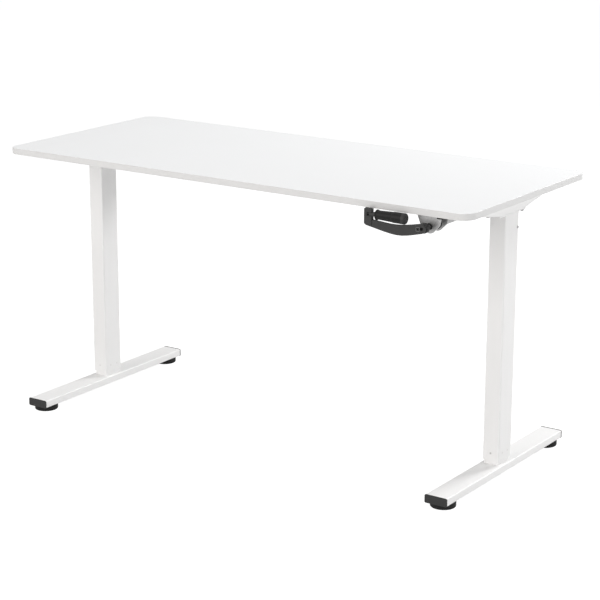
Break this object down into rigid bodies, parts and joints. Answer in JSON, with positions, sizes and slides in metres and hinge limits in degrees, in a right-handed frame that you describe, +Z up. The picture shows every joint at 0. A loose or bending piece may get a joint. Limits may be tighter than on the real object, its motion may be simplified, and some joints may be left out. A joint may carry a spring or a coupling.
{
  "type": "height adjustable standing desk",
  "caption": "Standing desk with a white worktop on two telescopic columns with T feet, raised by a folding hand crank under its front edge.",
  "frame": {"origin": "on the floor under the middle of the desk's bounding box, crank included", "axes": "+X to the right of the person at the desk, +Y away from them, +Z up"},
  "size_m": [1.4, 0.627, 0.725],
  "materials": {
    "worktop_laminate": "white melamine face on particle board, satin",
    "edge_banding": "white plastic edge band, satin",
    "white_powder_coat": "white powder coat, fine texture, satin",
    "black_plastic": "moulded black plastic, fine grain",
    "foot_rubber": "black rubber, matt",
    "grip_plastic": "black moulded grip, smooth, satin",
    "crank_black_paint": "black paint on cast steel, satin",
    "white_acetal": "white engineering plastic",
    "grey_housing_plastic": "moulded grey plastic",
    "zinc_steel": "zinc-plated steel",
    "gear_steel": "oiled machined steel"
  },
  "bodies": {
    "left_leg": {"foot_tube_left": "white_powder_coat", "foot_cap_left_front": "black_plastic", "foot_cap_left_back": "black_plastic", "inner_column_left": "white_powder_coat", "base_plate_left": "zinc_steel", "nut_tube_left": "zinc_steel", "lead_nut_left": "white_acetal", "upper_glide_left": "white_acetal"},
    "upper_frame": {"desktop": "worktop_laminate", "edge_band": "edge_banding", "side_arm_left": "white_powder_coat", "side_arm_right": "white_powder_coat", "head_plate_left": "white_powder_coat", "head_plate_right": "white_powder_coat", "outer_column_left": "white_powder_coat", "outer_column_right": "white_powder_coat", "lower_glide_left": "white_acetal", "lower_glide_right": "white_acetal", "rail_left_front": "white_powder_coat", "rail_left_rear": "white_powder_coat", "rail_right_front": "white_powder_coat", "rail_right_rear": "white_powder_coat", "gearbox_housing_left": "grey_housing_plastic", "gearbox_housing_right": "grey_housing_plastic", "screw_bearing_left": "zinc_steel", "screw_bearing_right": "zinc_steel", "crank_gearbox_housing": "grey_housing_plastic", "crank_bracket": "zinc_steel", "crank_bush_front": "black_plastic", "crank_bush_rear": "black_plastic"},
    "right_leg": {"foot_tube_right": "white_powder_coat", "foot_cap_right_front": "black_plastic", "foot_cap_right_back": "black_plastic", "inner_column_right": "white_powder_coat", "base_plate_right": "zinc_steel", "nut_tube_right": "zinc_steel", "lead_nut_right": "white_acetal", "upper_glide_right": "white_acetal"},
    "left_screw": {"lead_screw_left": "gear_steel", "screw_gear_left": "gear_steel"},
    "right_screw": {"lead_screw_right": "gear_steel", "screw_gear_right": "gear_steel"},
    "cross_shaft": {"hex_shaft": "zinc_steel", "shaft_gear_left": "gear_steel", "shaft_gear_crank": "gear_steel", "shaft_gear_right": "gear_steel"},
    "crank_drive": {"drive_sleeve": "zinc_steel", "drive_gear": "gear_steel"},
    "crank_handle": {"crank_arm": "crank_black_paint", "crank_rod": "zinc_steel", "crank_collar": "black_plastic", "arm_bolt": "crank_black_paint", "hinge_pin": "crank_black_paint"},
    "grip_fork": {"grip_spindle": "crank_black_paint"},
    "grip": {"grip_sleeve": "grip_plastic", "grip_cap": "black_plastic"},
    "leveller_left_front": {"levelling_foot_left_front": "foot_rubber"},
    "leveller_left_back": {"levelling_foot_left_back": "foot_rubber"},
    "leveller_right_front": {"levelling_foot_right_front": "foot_rubber"},
    "leveller_right_back": {"levelling_foot_right_back": "foot_rubber"}
  },
  "joints": [
    {"name": "crank_turn", "type": "hinge", "parent": "upper_frame", "child": "crank_drive", "pos_m": [0.5885, 0.0155, 0.6815], "axis": [0, 1, 0], "range_deg": [0, 32400]},
    {"name": "lift_left", "type": "slide", "parent": "left_leg", "child": "upper_frame", "axis": [0, 0, 1], "range_m": [0, 0.45]},
    {"name": "lift_right", "type": "slide", "parent": "upper_frame", "child": "right_leg", "axis": [0, 0, -1], "range_m": [0, 0.45]},
    {"name": "shaft_turn", "type": "hinge", "parent": "upper_frame", "child": "cross_shaft", "pos_m": [0, 0.0155, 0.6815], "axis": [1, 0, 0], "range_deg": [-32400, 0]},
    {"name": "left_screw_turn", "type": "hinge", "parent": "upper_frame", "child": "left_screw", "pos_m": [-0.629, 0.0155, 0.4], "axis": [0, 0, 1], "range_deg": [0, 32400]},
    {"name": "right_screw_turn", "type": "hinge", "parent": "upper_frame", "child": "right_screw", "pos_m": [0.629, 0.0155, 0.4], "axis": [0, 0, 1], "range_deg": [0, 32400]},
    {"name": "crank_pull", "type": "slide", "parent": "crank_drive", "child": "crank_handle", "axis": [0, -1, 0], "range_m": [0, 0.04]},
    {"name": "grip_fold", "type": "hinge", "parent": "crank_handle", "child": "grip_fork", "pos_m": [0.4485, -0.3005, 0.6987], "axis": [0, 0, -1], "range_deg": [0, 90]},
    {"name": "grip_spin", "type": "hinge", "parent": "grip_fork", "child": "grip", "pos_m": [0.4485, -0.3005, 0.6987], "axis": [1, 0, 0], "continuous": true},
    {"name": "level_left_front", "type": "slide", "parent": "left_leg", "child": "leveller_left_front", "axis": [0, 0, -1], "range_m": [0, 0.012]},
    {"name": "level_left_back", "type": "slide", "parent": "left_leg", "child": "leveller_left_back", "axis": [0, 0, -1], "range_m": [0, 0.012]},
    {"name": "level_right_front", "type": "slide", "parent": "right_leg", "child": "leveller_right_front", "axis": [0, 0, -1], "range_m": [0, 0.012]},
    {"name": "level_right_back", "type": "slide", "parent": "right_leg", "child": "leveller_right_back", "axis": [0, 0, -1], "range_m": [0, 0.012]}
  ],
  "couplings": [
    {"joint": "lift_right", "follows": "lift_left", "ratio": 1},
    {"joint": "crank_turn", "follows": "lift_left", "rad_per_m": 1256.6},
    {"joint": "shaft_turn", "follows": "lift_left", "rad_per_m": -1256.6},
    {"joint": "left_screw_turn", "follows": "lift_left", "rad_per_m": 1256.6},
    {"joint": "right_screw_turn", "follows": "lift_left", "rad_per_m": 1256.6}
  ]
}
